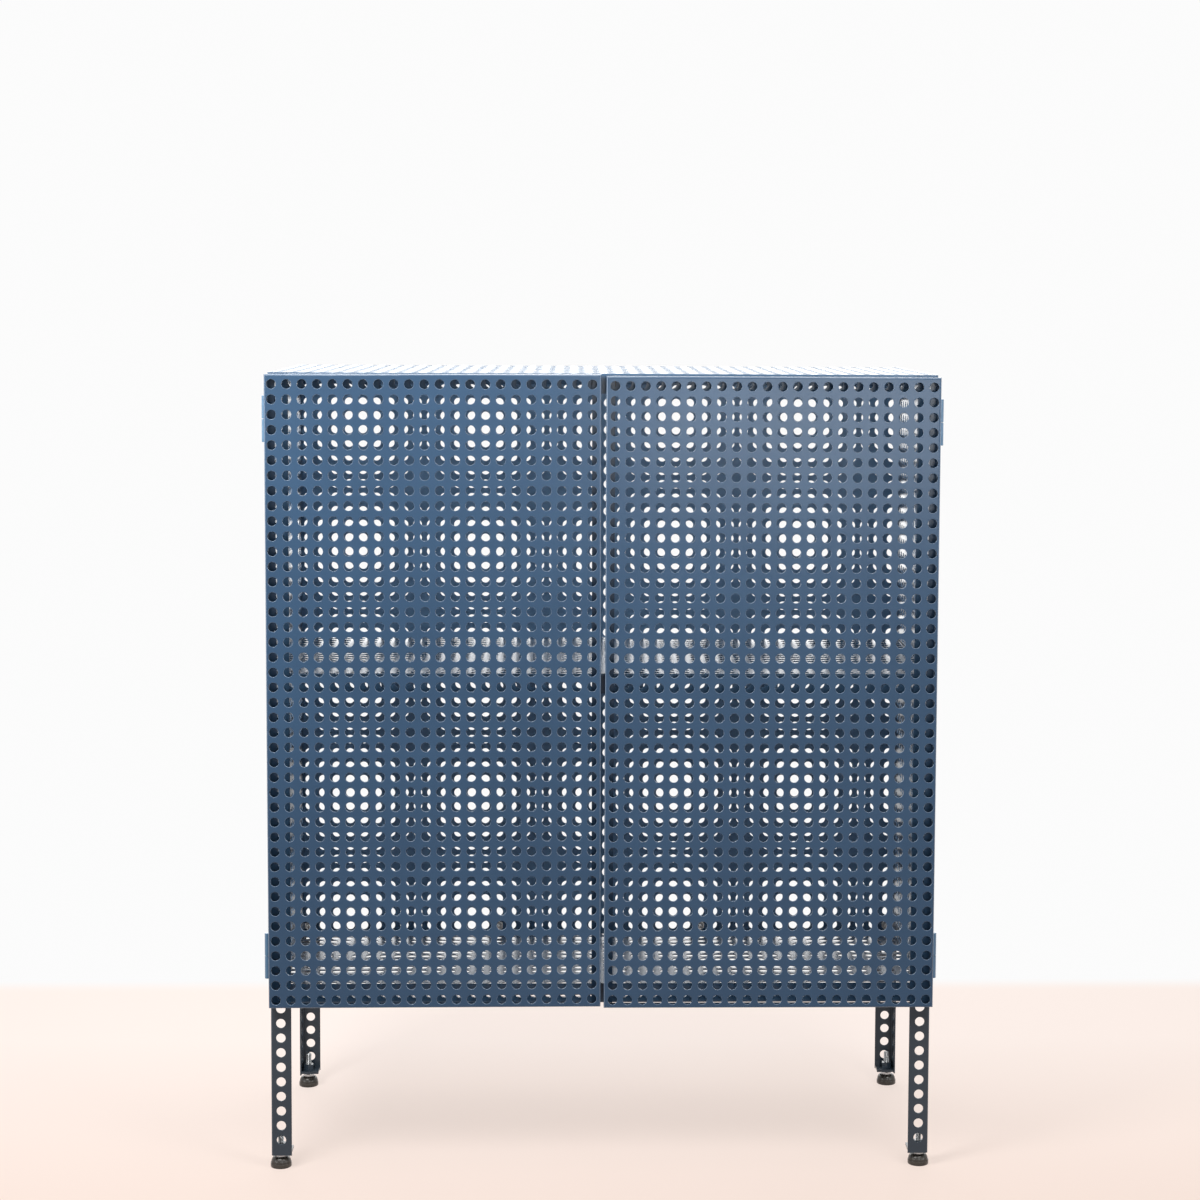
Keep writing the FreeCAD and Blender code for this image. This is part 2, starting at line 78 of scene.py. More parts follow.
# Mesh detail: the doors and legs get finer holes than the other sheets
FINE_SEGMENTS = 20
PLAIN_SEGMENTS = 16
RIM = 0.00035
CUT_MARGIN = 0.00005
WELD_DIGITS = 7
SMOOTH_ANGLE = math.radians(50)
LEAST_LENGTH = 1e-15

# The two directions in a sheet that lies across each axis
ACROSS = ((1, 2), (0, 2), (0, 1))

# Lowest and highest place of the legs along each axis, the top hole row and the body's underside
body = {axis: (min(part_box(n)[0][axis] for n in ("leg_front_left", "leg_rear_right")),
               max(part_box(n)[1][axis] for n in ("leg_front_left", "leg_rear_right")))
        for axis in range(3)}
TOP_ROW = body[2][1] - TOP_ROW_INSET
BODY_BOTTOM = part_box("bottom_tray")[0].z


class Patch:
    """A punched rectangle of a folded sheet, between two planes of one axis."""

    def __init__(self, axis, outer, inner, u, v, columns, rows, fine=False):
        self.axis, self.across = axis, ACROSS[axis]
        self.outer, self.inner = outer, inner
        self.inward = 1 if inner > outer else -1
        self.u, self.v = u, v
        self.columns, self.rows = sorted(columns), sorted(rows)
        self.fine = fine
        self.segments = FINE_SEGMENTS if fine else PLAIN_SEGMENTS

    def rings(self):
        """(radius, depth) of the circles down each hole, its rim rounded by the paint."""
        thick = abs(self.inner - self.outer)
        if not self.fine:
            return [(HOLE_RADIUS + RIM, 0.0), (HOLE_RADIUS, RIM), (HOLE_RADIUS, thick)]
        part = RIM * (1 - math.sqrt(0.5))
        return [(HOLE_RADIUS + RIM, 0.0), (HOLE_RADIUS + part, part), (HOLE_RADIUS, RIM),
                (HOLE_RADIUS, thick - part), (HOLE_RADIUS + part, thick)]

    def covers(self, points):
        """Which points lie inside the rectangle and within the sheet."""
        u, v = points[:, self.across[0]], points[:, self.across[1]]
        through = points[:, self.axis]
        low, high = sorted((self.outer, self.inner))
        return ((u > self.u[0] + CUT_MARGIN) & (u < self.u[1] - CUT_MARGIN)
                & (v > self.v[0] + CUT_MARGIN) & (v < self.v[1] - CUT_MARGIN)
                & (through > low - CUT_MARGIN) & (through < high + CUT_MARGIN))

    def place(self, u, v, through):
        """Points from in-plane coordinates and a place along the axis."""
        points = np.empty(u.shape + (3,))
        points[..., self.across[0]] = u
        points[..., self.across[1]] = v
        points[..., self.axis] = through
        return points.reshape(-1, 3)

    def points(self):
        """Corners of the cells on the outside and the inside, then the circles down the holes."""
        grid = np.meshgrid(cell_limits(self.columns, *self.u), cell_limits(self.rows, *self.v),
                           indexing="ij")
        centre_u, centre_v = np.meshgrid(self.columns, self.rows, indexing="ij")
        turn = 2 * np.pi * np.arange(self.segments) / self.segments
        layers = [self.place(*grid, self.outer), self.place(*grid, self.inner)]
        for radius, depth in self.rings():
            layers.append(self.place(centre_u[..., None] + radius * np.cos(turn),
                                     centre_v[..., None] + radius * np.sin(turn),
                                     self.outer + self.inward * depth))
        return np.concatenate(layers)

    def flat_side(self, starts, corners):
        """Triangles of one side, from the circle round each hole to the four corners of its cell."""
        quarter = self.segments // 4
        triangles = []
        for k in range(self.segments):
            corner = corners[:, k // quarter]
            triangles.append(np.stack([starts + k, corner, starts + (k + 1) % self.segments], 1))
            if k % quarter == 0:
                triangles.append(np.stack([starts + k, corners[:, k // quarter - 1], corner], 1))
        return np.concatenate(triangles)

    def walls(self, near, deep):
        """Triangles down each hole, between two circles."""
        triangles = []
        for k in range(self.segments):
            ahead = (k + 1) % self.segments
            triangles.append(np.stack([near + k, deep + ahead, near + ahead], 1))
            triangles.append(np.stack([near + k, deep + k, deep + ahead], 1))
        return np.concatenate(triangles)

    def mesh(self):
        """(points, triangles, smooth flags) of the punched sheet."""
        columns, rows = len(self.columns), len(self.rows)
        column, row = np.meshgrid(np.arange(columns), np.arange(rows), indexing="ij")
        hole = (column * rows + row).reshape(-1)
        corners = np.stack([((column + right) * (rows + 1) + row + up).reshape(-1)
                            for right, up in ((1, 1), (0, 1), (0, 0), (1, 0))], 1)
        # The points are the outside's corners, the inside's corners, and then the circles in layers
        side_points = (columns + 1) * (rows + 1)
        starts = [2 * side_points + (layer * columns * rows + hole) * self.segments
                  for layer in range(len(self.rings()))]
        flat = [self.flat_side(starts[0], corners)[:, ::-1],
                self.flat_side(starts[-1], side_points + corners)]
        walls = [self.walls(near, deep) for near, deep in zip(starts, starts[1:])]
        faces = np.concatenate(flat + walls)
        smooth = np.arange(len(faces)) >= sum(len(side) for side in flat)
        # So far the faces look outwards only in a sheet whose inside lies towards +X, -Y or +Z
        if (self.inward > 0) != (self.axis != 1):
            faces = faces[:, ::-1]
        return self.points(), faces, smooth


def cell_limits(centres, low, high):
    """The middles between neighbouring holes, and the rectangle's own two limits."""
    centres = np.sort(np.array(centres))
    return np.concatenate([[low], (centres[1:] + centres[:-1]) / 2, [high]])


def make_mesh(name, points, faces, smooth):
    """Mesh from arrays of points and triangles."""
    mesh = bpy.data.meshes.new(name)
    mesh.vertices.add(len(points))
    mesh.vertices.foreach_set("co", points.astype(np.float32).ravel())
    mesh.loops.add(len(faces) * 3)
    mesh.loops.foreach_set("vertex_index", faces.astype(np.int32).ravel())
    mesh.polygons.add(len(faces))
    mesh.polygons.foreach_set("loop_start", np.arange(0, len(faces) * 3, 3, dtype=np.int32))
    mesh.polygons.foreach_set("use_smooth", smooth)
    mesh.update(calc_edges=True)
    mesh.validate()
    return mesh


def shell_of(node, patches):
    """The CAD node's triangles outside the patches, with welded points and smooth flags."""
    source = frame["nodes"][node].data
    source.calc_loop_triangles()
    points = np.empty(len(source.vertices) * 3)
    source.vertices.foreach_get("co", points)
    points = points.reshape(-1, 3)
    faces = np.empty(len(source.loop_triangles) * 3, np.int32)
    source.loop_triangles.foreach_get("vertices", faces)
    faces = faces.reshape(-1, 3)
    middles = points[faces].mean(1)
    kept = np.ones(len(faces), bool)
    for patch in patches:
        kept &= ~patch.covers(middles)
    welded, index = np.unique(np.round(points, WELD_DIGITS), axis=0, return_inverse=True)
    faces = index.reshape(-1)[faces[kept]]
    a, b, c = faces.T
    faces = faces[(a != b) & (b != c) & (a != c)]
    used, compact = np.unique(faces, return_inverse=True)
    return welded[used], compact.reshape(-1, 3), np.ones(len(faces), bool)


def joined(parts):
    """One set of points, triangles and smooth flags from several."""
    points, faces, smooth, start = [], [], [], 0
    for part_points, part_faces, part_smooth in parts:
        points.append(part_points)
        faces.append(part_faces + start)
        smooth.append(part_smooth)
        start += len(part_points)
    return np.concatenate(points), np.concatenate(faces), np.concatenate(smooth)


def face_vectors(points, faces):
    """Vector square to each triangle, as long as twice its area."""
    a, b, c = (points[faces[:, k]] for k in range(3))
    return np.cross(b - a, c - a)


def units(vectors):
    """The same directions at a length of one."""
    return vectors / np.maximum(np.linalg.norm(vectors, axis=1, keepdims=True), LEAST_LENGTH)


def weighted_normals(points, faces):
    """Normal of each corner: its neighbours' within the smooth angle, weighted by area."""
    areas = face_vectors(points, faces)
    directions = units(areas)
    around = [[] for _ in range(len(points))]
    for face, corners in enumerate(faces):
        for corner in corners:
            around[corner].append(face)
    normals = np.empty((len(faces), 3, 3))
    for face, corners in enumerate(faces):
        for k, corner in enumerate(corners):
            near = around[corner]
            level = directions[near] @ directions[face] > math.cos(SMOOTH_ANGLE)
            total = areas[near][level].sum(0)
            normals[face, k] = total / max(np.linalg.norm(total), LEAST_LENGTH)
    return normals.reshape(-1, 3)


def add_piece(name, parts, node, ride_on, slot, weighted=0, material=None):
    """Piece that replaces a CAD node; the first few of its parts get area-weighted normals."""
    points, faces, smooth = joined(parts)
    mesh = make_mesh(name, points, faces, smooth)
    mesh.set_sharp_from_angle(angle=SMOOTH_ANGLE)
    if weighted:
        normals = np.zeros((len(faces) * 3, 3))
        weighted_points, weighted_faces, _ = joined(parts[:weighted])
        normals[:len(weighted_faces) * 3] = weighted_normals(weighted_points, weighted_faces)
        normals[np.repeat(~smooth, 3)] = np.repeat(units(face_vectors(points, faces[~smooth])), 3, axis=0)
        mesh.normals_split_custom_set(normals.tolist())
    mesh.materials.append(material or by_slot[slot])
    piece = bpy.data.objects.new(name, mesh)
    bpy.context.scene.collection.objects.link(piece)
    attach(piece, ride_on)
    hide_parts(node)
    return piece


def punched(name, node, ride_on, patches, lean=0.0, material=None):
    """Piece that stands for a CAD sheet, with its whole perforation."""
    parts = [shell_of(node, patches)] + [patch.mesh() for patch in patches]
    if lean:
        low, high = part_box(node)
        centre = (low + high) / 2
        for points, _, _ in parts:
            across, above = points[:, 0] - centre.x, points[:, 2] - centre.z
            points[:, 0] -= lean * above
            points[:, 2] += lean * across
    return add_piece(name, parts, node, ride_on, "blue_paint", weighted=1, material=material)


# Sheets

def centred(count, around=0.0):
    """Places of a count of holes at the pitch, symmetric about one place."""
    return [around + (k - (count - 1) / 2) * PITCH for k in range(count)]


def whole_between(places, low, high):
    """The places whose whole hole lies between two limits."""
    return [place for place in places if low < place - HOLE_RADIUS and place + HOLE_RADIUS < high]


SIDE_PLACES = centred(SIDE_COLUMNS, (body[1][0] + body[1][1]) / 2)
BODY_PLACES = centred(BODY_COLUMNS)
BODY_ROWS = [TOP_ROW - k * PITCH for k in range(int((TOP_ROW - body[2][0]) / PITCH) + 1)]


def door_patches(node, side):
    """The face of a door."""
    low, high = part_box(node)
    outer_x = low.x if side == "left" else high.x
    step = PITCH if side == "left" else -PITCH
    start = outer_x + math.copysign(DOOR_COLUMN_INSET, step)
    columns = [start + k * step for k in range(DOOR_COLUMNS)]
    rows = [high.z - DOOR_ROW_INSET - k * PITCH for k in range(DOOR_ROWS)]
    return [Patch(1, low.y, low.y + SHEET, (low.x + BEND, high.x - BEND), (low.z + BEND, high.z - BEND),
                  columns, rows, True)]


def tray_patches(node, flanges_down):
    """The face and the four flanges of a tray."""
    low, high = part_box(node)
    outer_z, inner_z = (high.z, high.z - SHEET) if flanges_down else (low.z, low.z + SHEET)
    flange = (low.z, high.z - BEND) if flanges_down else (low.z + BEND, high.z)
    rows = whole_between(BODY_ROWS, low.z, high.z)
    sides = whole_between(SIDE_PLACES, low.y + BEND, high.y - BEND)
    across = (low.x + SEAM_EDGE, high.x - SEAM_EDGE)
    along = (low.y, high.y)
    return [
        Patch(2, outer_z, inner_z, (low.x + BEND, high.x - BEND), (low.y + BEND, high.y - BEND),
              BODY_PLACES, sides),
        Patch(1, low.y, low.y + SHEET, across, flange, BODY_PLACES, rows),
        Patch(1, high.y, high.y - SHEET, across, flange, BODY_PLACES, rows),
        Patch(0, low.x, low.x + SHEET, along, flange, sides, rows),
        Patch(0, high.x, high.x - SHEET, along, flange, sides, rows),
    ]


def back_panel_patches():
    """The back panel, whose grid sits a little off the others."""
    low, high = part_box("back_panel")
    columns = [x + BACK_PANEL_SHIFT for x in BODY_PLACES]
    rows = [z - BACK_PANEL_DROP for z in whole_between(BODY_ROWS, low.z, high.z)]
    return [Patch(1, high.y, low.y, (low.x, high.x), (low.z, high.z), columns, rows)]


def side_panel_patches(node, side):
    """A side panel."""
    low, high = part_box(node)
    outer, inner = (low.x, high.x) if side == "left" else (high.x, low.x)
    return [Patch(0, outer, inner, (low.y, high.y), (low.z, high.z),
                  whole_between(SIDE_PLACES, low.y, high.y), whole_between(BODY_ROWS, low.z, high.z))]


def leg_patches(node, end, side):
    """The two flanges of a leg."""
    low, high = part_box(node)
    outer_x, edge_x, turn_x = (low.x, high.x, 1) if side == "left" else (high.x, low.x, -1)
    outer_y, edge_y, turn_y = (low.y, high.y, 1) if end == "front" else (high.y, low.y, -1)
    rows = whole_between(BODY_ROWS, low.z + FOOT_MARGIN - HOLE_RADIUS - CUT_MARGIN, high.z)
    x_range = sorted((outer_x + turn_x * LEG_BEND, edge_x))
    y_range = sorted((outer_y + turn_y * LEG_BEND, edge_y))
    heights = (low.z, high.z)
    return [
        Patch(1, outer_y, outer_y + turn_y * LEG_SHEET, x_range, heights,
              [outer_x + turn_x * LEG_HOLE_INSET], rows, True),
        Patch(0, outer_x, outer_x + turn_x * LEG_SHEET, y_range, heights,
              [outer_y + turn_y * LEG_HOLE_INSET], rows, True),
    ]


# Turned and stitched details

TURNED_SEGMENTS = 48
SHANK_SEGMENTS = 24
PAD_SEGMENTS = 64


def middle(low, high, axes):
    """Middle of a box along some of its axes."""
    return [(low[axis] + high[axis]) / 2 for axis in axes]


def stitched(rings, loop=False):
    """Closed skin through rings of points, each ring running anticlockwise seen from the last one."""
    rings = [np.asarray(ring, float) for ring in rings]
    count = len(rings[0])
    points = list(rings)
    faces = []
    turn = np.arange(count)
    ahead = (turn + 1) % count
    pairs = [(k, k + 1) for k in range(len(rings) - 1)] + ([(len(rings) - 1, 0)] if loop else [])
    for low, high in pairs:
        a, b, c, d = low * count + turn, low * count + ahead, high * count + ahead, high * count + turn
        faces += [np.stack([a, b, c], 1), np.stack([a, c, d], 1)]
    if not loop:
        points += [rings[0].mean(0)[None], rings[-1].mean(0)[None]]
        first, last = len(rings) * count, len(rings) * count + 1
        end = (len(rings) - 1) * count
        faces.append(np.stack([ahead, turn, np.full(count, first)], 1))
        faces.append(np.stack([end + turn, end + ahead, np.full(count, last)], 1))
    faces = np.concatenate(faces)
    return np.concatenate(points), faces, np.ones(len(faces), bool)


def turned(path, segments=TURNED_SEGMENTS, loop=False):
    """Body along +Z through (radius, height) steps; a radius may be one number for each segment."""
    turn = 2 * np.pi * np.arange(segments) / segments
    rings = []
    for radius, height in path:
        radii = np.broadcast_to(radius, turn.shape)
        rings.append(np.stack([radii * np.cos(turn), radii * np.sin(turn), np.full(segments, height)], 1))
    return stitched(rings, loop)


def upright(part, x, y, z=0.0):
    """A part made along +Z, moved to its place."""
    points, faces, smooth = part
    return points + np.array((x, y, z)), faces, smooth


def facing_back(part, x, z):
    """A part made along +Z, turned to run along +Y."""
    points, faces, smooth = part
    return np.stack([points[:, 0] + x, points[:, 2], z - points[:, 1]], 1), faces, smooth


def hexagon(flats, segments=TURNED_SEGMENTS):
    """Radii of a hexagon with flats towards +X and -X."""
    sixth = math.pi / 3
    turn = 2 * np.pi * np.arange(segments) / segments
    return flats / 2 / np.cos((turn + sixth / 2) % sixth - sixth / 2)


HEX_CHAMFER = 0.0005
HEX_CHAMFER_STEPS = 4
HEX_END_SHARE = 0.97


def hex_prism(flats, low, high):
    """(radii, height) steps of a hexagonal prism with coned ends."""
    radii = hexagon(flats)
    ends = []
    for k in range(HEX_CHAMFER_STEPS):
        cone = flats / 2 * HEX_END_SHARE + k * HEX_CHAMFER
        ends.append((np.minimum(radii, cone), k * HEX_CHAMFER / 2))
    return ([(cut, low + depth) for cut, depth in ends]
            + [(cut, high - depth) for cut, depth in reversed(ends)])


# Screw threads: the flanks' steepness and drop leave small flats at the crest and the root
THREAD_PITCH = 0.001
THREAD_CREST = 0.00298
THREAD_ROOT = 0.00245
THREAD_STEPS = 6
FLANK_STEEPNESS = 1.4
FLANK_DROP = 0.2
THREAD_END_INSET = 0.0002


def thread(low, high, taper_low=True):
    """(radii, height) steps of a screw thread between two heights, with a chamfer at its free end."""
    turn = np.arange(SHANK_SEGMENTS) / SHANK_SEGMENTS
    count = round((high - low) / THREAD_PITCH * THREAD_STEPS)
    steps = []
    for height in np.linspace(low, high, count + 1):
        phase = (height / THREAD_PITCH - turn) % 1.0
        crest = np.clip(FLANK_STEEPNESS * (1 - np.abs(2 * phase - 1)) - FLANK_DROP, 0, 1)
        free = (height - low) if taper_low else (high - height)
        radii = THREAD_ROOT + (THREAD_CREST - THREAD_ROOT) * crest
        steps.append((np.minimum(radii, THREAD_ROOT - THREAD_END_INSET + free), height))
    return steps


PLATE_EDGE = 0.00015
PLATE_CORNER_STEPS = 6


def rounded_plate(x, y, z, corner):
    """Plate across Y with rounded corners in its face and small bevels round its edges."""
    outline = []
    for corner_x, corner_z, start in ((x[1], z[1], 0), (x[0], z[1], 1), (x[0], z[0], 2), (x[1], z[0], 3)):
        for k in range(PLATE_CORNER_STEPS + 1):
            turn = (start + k / PLATE_CORNER_STEPS) * math.pi / 2
            middle_x = corner_x - math.copysign(corner, corner_x - (x[0] + x[1]) / 2)
            middle_z = corner_z - math.copysign(corner, corner_z - (z[0] + z[1]) / 2)
            outline.append((middle_x, middle_z, math.cos(turn), math.sin(turn)))
    rings = []
    for inset, depth in ((PLATE_EDGE, y[1]), (0, y[1] - PLATE_EDGE),
                         (0, y[0] + PLATE_EDGE), (PLATE_EDGE, y[0])):
        rings.append([(middle_x + (corner - inset) * out_x, depth, middle_z + (corner - inset) * out_z)
                      for middle_x, middle_z, out_x, out_z in outline])
    return stitched(rings)


# Levelling feet

FOOT_BEVEL = 0.0006
PAD_RIM = 0.0046
PAD_CROWN = 0.006
CROWN_STEPS = 12
COLLAR_HEIGHT = 0.003


def foot_pad(node):
    """Pad with a straight rim and a full crown."""
    low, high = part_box(node)
    radius = (high.x - low.x) / 2
    path = [(radius - 2 * FOOT_BEVEL, 0), (radius - FOOT_BEVEL / 2, FOOT_BEVEL / 3),
            (radius, FOOT_BEVEL), (radius, PAD_RIM - FOOT_BEVEL), (radius - FOOT_BEVEL / 4, PAD_RIM),
            (radius - FOOT_BEVEL / 2, PAD_RIM)]
    crown = high.z - low.z - PAD_RIM
    for k in range(CROWN_STEPS + 1):
        turn = k / CROWN_STEPS * math.pi / 2
        path.append((PAD_CROWN + (radius - FOOT_BEVEL - PAD_CROWN) * math.cos(turn),
                     PAD_RIM + crown * math.sin(turn)))
    return [upright(turned(path, PAD_SEGMENTS), *middle(low, high, (0, 1)), low.z)]


def foot_stud(node):
    """Threaded stud with a hexagonal collar."""
    low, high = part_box(node)
    collar = turned(hex_prism(high.x - low.x, low.z, low.z + COLLAR_HEIGHT))
    shank = turned(thread(low.z + COLLAR_HEIGHT / 2, high.z, False), SHANK_SEGMENTS)
    return [upright(part, *middle(low, high, (0, 1))) for part in (collar, shank)]


# Bolts and nuts: the head's crown goes through steps of (inset, share of the head's height)

HEAD_RADIUS = 0.0069
HEAD_EDGE = 0.0002
HEAD_CROWN = ((0.0, 0.45), (0.0003, 0.75), (0.0009, 0.93))
HEAD_TOP_INSET = 0.0017
SOCKET_FLATS = 0.004
SOCKET_FLOOR = 0.0009
SOCKET_EDGE = 0.0002
SHANK_SEAT = 0.0003
BOLT_ROWS = (0, 20, 41)
MIDDLE_BOLT = 7.5 * PITCH
NUT_FLATS = 0.010
NUT_CLEARANCE = 0.00007
NUT_LEAD = 0.0003


def bolt(low, face, high):
    """Low round head with a hexagonal socket, on a threaded shank."""
    socket = hexagon(SOCKET_FLATS)
    height = high - face
    crown = [(HEAD_RADIUS - inset, face + share * height) for inset, share in HEAD_CROWN]
    head = turned([(HEAD_RADIUS - HEAD_EDGE, face), (HEAD_RADIUS, face + HEAD_EDGE)] + crown
                  + [(HEAD_RADIUS - HEAD_TOP_INSET, high), (socket + SOCKET_EDGE, high),
                     (socket, high - SOCKET_EDGE), (socket, face + SOCKET_FLOOR)])
    shank = turned(thread(low, face + SHANK_SEAT), SHANK_SEGMENTS)
    return [head, shank]


def nut(low, high, flats):
    """Chamfered hexagonal nut with a clear bore."""
    bore = THREAD_CREST + NUT_CLEARANCE
    return turned([(bore + NUT_LEAD, low)] + hex_prism(flats, low, high)
                  + [(bore + NUT_LEAD, high), (bore, high - NUT_LEAD), (bore, low + NUT_LEAD)], loop=True)


def bolt_places():
    """(x, z, head's seat) of each bolt: two in the rear legs and two in the panel at each tray."""
    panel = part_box("back_panel")[1].y
    leg = body[1][1]
    edge = body[0][1] - LEG_HOLE_INSET
    return [(x, TOP_ROW - row * PITCH, leg if abs(x) == edge else panel)
            for row in BOLT_ROWS for x in (-edge, -MIDDLE_BOLT, MIDDLE_BOLT, edge)]


def all_bolts():
    """The twelve bolts."""
    low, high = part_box("tray_bolts")
    head = high.y - body[1][1]
    return [facing_back(part, x, z) for x, z, seat in bolt_places()
            for part in bolt(low.y, seat, seat + head)]


def all_nuts():
    """The twelve nuts."""
    low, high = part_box("tray_nuts")
    return [facing_back(nut(low.y, high.y, NUT_FLATS), x, z) for x, z, _ in bolt_places()]


# Hinges

KNUCKLE = 0.00258
KNUCKLE_EDGE = 0.00025
KNUCKLE_CAP = 0.002
KNUCKLE_SIDE_GAP = 0.0004
PIN_BORE = 0.00158
HINGE_LEAF = 0.001
LEAF_CORNER = 0.0012


def hinge_leaf(node, on_door):
    """Leaf with rounded corners and its knuckle: the lower one on the frame, the upper one on the door."""
    low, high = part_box(node)
    left = low.x < 0
    side = 1 if left else -1
    axis_x = (low.x if left else high.x) + side * KNUCKLE
    axis_y = (low.y + high.y) / 2
    plate_x = sorted((axis_x + side * (KNUCKLE + KNUCKLE_SIDE_GAP), high.x if left else low.x))
    link_x = sorted((axis_x + side * (PIN_BORE + KNUCKLE_EDGE),
                     axis_x + side * (KNUCKLE + 2 * KNUCKLE_SIDE_GAP)))
    edge_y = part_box("door_left")[1].y if on_door else body[1][0] - HINGE_LEAF
    plate_y = (edge_y, edge_y + HINGE_LEAF)
    joint_z = (low.z + high.z) / 2 + (1 if on_door else -1) * KNUCKLE_EDGE
    bottom, top = (joint_z, high.z) if on_door else (low.z, joint_z)
    rounding = [(KNUCKLE - KNUCKLE_EDGE, 0), (KNUCKLE, KNUCKLE_EDGE)]
    outside = ([(radius, bottom + inset) for radius, inset in rounding]
               + [(radius, top - inset) for radius, inset in reversed(rounding)])
    if on_door:
        path = [(PIN_BORE, top - KNUCKLE_CAP), (PIN_BORE, bottom)] + outside
    else:
        path = outside + [(PIN_BORE, top), (PIN_BORE, bottom + KNUCKLE_CAP)]
    return [rounded_plate(plate_x, plate_y, (low.z, high.z), LEAF_CORNER),
            rounded_plate(link_x, plate_y, (bottom, top), KNUCKLE_EDGE),
            upright(turned(path), axis_x, axis_y)]


def hinge_pin(node):
    """Pin with a rounded upper tip."""
    low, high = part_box(node)
    radius = (high.x - low.x) / 2
    tip = radius / 3
    path = [(radius - tip / 2, low.z), (radius, low.z + tip / 2), (radius, high.z - 2 * tip),
            (radius - tip / 2, high.z - tip / 2), (radius - tip, high.z)]
    return [upright(turned(path), *middle(low, high, (0, 1)))]


# Magnetic catches

CATCH_RADIUS = 0.0043
CATCH_COLLAR = 0.0064
CATCH_COLLAR_HEIGHT = 0.0015
CATCH_BORE = 0.0029
CATCH_TAIL = 0.006
CATCH_EDGE = 0.0003


def catch_case(node):
    """Round case with a collar, and a recess in front for the magnet."""
    low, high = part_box(node)
    edge = CATCH_EDGE
    seat = high.y - CATCH_TAIL - CATCH_COLLAR_HEIGHT
    collar_end = seat + CATCH_COLLAR_HEIGHT
    path = [(CATCH_BORE, seat + CATCH_TAIL), (CATCH_BORE, low.y + edge), (CATCH_BORE + edge, low.y),
            (CATCH_RADIUS - 2 * edge, low.y), (CATCH_RADIUS - edge, low.y + edge / 2),
            (CATCH_RADIUS, low.y + 2 * edge), (CATCH_RADIUS, seat),
            (CATCH_COLLAR - edge, seat), (CATCH_COLLAR, seat + edge),
            (CATCH_COLLAR, collar_end - edge), (CATCH_COLLAR - edge, collar_end),
            (CATCH_RADIUS, collar_end), (CATCH_RADIUS, high.y - edge), (CATCH_RADIUS - edge, high.y)]
    return [facing_back(turned(path), *middle(low, high, (0, 2)))]


def catch_magnet(node):
    """Round magnet with small bevels."""
    low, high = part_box(node)
    radius = (high.x - low.x) / 2
    path = [(radius - CATCH_EDGE, low.y), (radius, low.y + CATCH_EDGE), (radius, high.y - CATCH_EDGE),
            (radius - CATCH_EDGE, high.y)]
    return [facing_back(turned(path), *middle(low, high, (0, 2)))]


# Materials: noise scales are in cycles per metre, roughness and ramp values as (low, high); blues as
# (dark, pale, painted highlight on bends and hole rims)

# The body's blue is painted paler than the doors' to paint in light inside the cabinet
LIGHTENED_BODY_BLUE = ("34526f", "395875", "6c87a2")
DOOR_BLUE = ("28445f", "2d4a66", "8c9db2")
# The back panel's blue is painted much paler, painted light on the inside seen through the holes
BACK_BLUE_PAINTED_LIGHT = ("57789a", "5e7fa1", "8aa2ba")
# The hinges' blue is painted paler, a painted reflection of the bright surroundings
HINGE_BLUE_PAINTED_LIGHT = ("56799a", "5d82a0", "a3b8c9")
ZINC = ("9b9d9e", "c3c5c7", "dcdcda")
NYLON = ("2a2622", "3a352f", "5a544c")
BARE_LEG_FACTOR = (0.78, 0.47, 0.35, 1)
LEG_TURN = 0.006

CLOUD_SCALE, CLOUD_RANGE = 9.0, (0.3, 0.7)
GLOSS_SCALE, COAT_ROUGHNESS = 60.0, (0.36, 0.5)
COAT = {"Specular IOR Level": 0.15, "Coat Weight": 0.9, "Coat IOR": 1.35, "Coat Roughness": 0.2}
PEEL_SCALE, PEEL_STRENGTH, PEEL_DEPTH = 1100.0, 0.12, 0.0004
# Painted highlight on bends and hole rims: speck scale, speck range as shares, and the span of the largest
# squared normal part over which it fades
BEND_HIGHLIGHT_SPECK_SCALE, BEND_HIGHLIGHT_SPECKS, BEND_HIGHLIGHT_RANGE = 700.0, (0.6, 1.4), (0.6, 0.93)
ZINC_SCALE, ZINC_RANGE, ZINC_ROUGHNESS = 500.0, (0.3, 0.7), (0.22, 0.4)
ZINC_WEAR, ZINC_WEAR_SCALE = 0.8, 900.0
ZINC_GRAIN_SCALE, ZINC_GRAIN_STRENGTH = 2500.0, 0.15
NYLON_SCALE, NYLON_RANGE, NYLON_ROUGHNESS = 150.0, (0.35, 0.75), (0.22, 0.36)
NYLON_WEAR, NYLON_WEAR_SCALE = 0.7, 600.0
NYLON_GRAIN_SCALE, NYLON_GRAIN_STRENGTH = 1800.0, 0.2
GRAIN_DEPTH = 0.0002
EDGE_RANGE = (0.52, 0.62)
LEAST_WEAR = 0.1
BLACK_COLOUR, WHITE_COLOUR = (0, 0, 0, 1), (1, 1, 1, 1)


def linear(code):
    """Linear colour of an sRGB hex code."""
    values = [int(code[k:k + 2], 16) / 255 for k in (0, 2, 4)]
    return [v / 12.92 if v <= 0.04045 else ((v + 0.055) / 1.055) ** 2.4 for v in values] + [1.0]


def new_material(name):
    """Material with its nodes and links."""
    material = bpy.data.materials.new(name)
    material.use_nodes = True
    return material, material.node_tree.nodes, material.node_tree.links


def noise(nodes, links, scale, detail=2.0):
    """Noise in object space."""
    place = nodes.new("ShaderNodeTexCoord")
    texture = nodes.new("ShaderNodeTexNoise")
    texture.inputs["Scale"].default_value = scale
    texture.inputs["Detail"].default_value = detail
    links.new(place.outputs["Object"], texture.inputs["Vector"])
    return texture.outputs["Fac"]


def ramp(nodes, links, value, span, low, high):
    """Colour that turns from one to another as a value crosses a span."""
    node = nodes.new("ShaderNodeValToRGB")
    for element, position, colour in zip(node.color_ramp.elements, span, (low, high)):
        element.position = position
        element.color = colour
    links.new(value, node.inputs["Fac"])
    return node.outputs["Color"]


